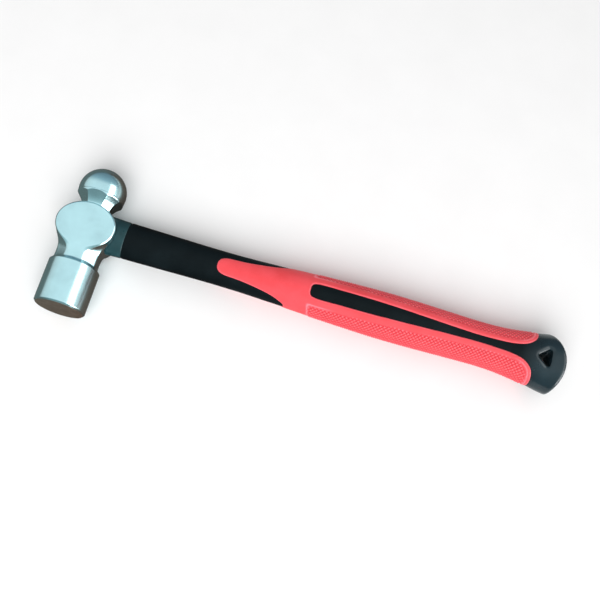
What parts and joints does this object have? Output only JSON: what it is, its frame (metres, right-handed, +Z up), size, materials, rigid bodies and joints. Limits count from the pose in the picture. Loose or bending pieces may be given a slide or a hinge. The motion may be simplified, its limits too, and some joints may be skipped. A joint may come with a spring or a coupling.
{
  "type": "ball peen hammer",
  "caption": "Ball peen hammer: forged steel head with a flat striking face and a ball, resin-set on a fibreglass-cored handle with a soft two-colour grip.",
  "frame": {"origin": "under the middle of the whole hammer, on the surface it lies on", "axes": "+X along the handle from the head to the butt, +Y along the head from the striking face to the ball, +Z up, square to the flat cheeks"},
  "size_m": [0.337, 0.0988, 0.033],
  "materials": {
    "polished_steel": "forged, ground and polished, with a faint machining grain",
    "fibreglass": "pultruded glass fibre rod, sawn end",
    "cast_resin": "cast epoxy, slightly dished",
    "collar_plastic": "smooth moulded",
    "black_plastic": "fine satin, glossier at the butt",
    "red_soft_grip": "soft moulded rubber with a diamond texture"
  },
  "bodies": {
    "root": {"hammer_head": "polished_steel", "fibreglass_core": "fibreglass", "eye_resin": "cast_resin", "eye_collar": "collar_plastic", "handle_body": "black_plastic", "red_grip": "red_soft_grip"}
  },
  "joints": []
}
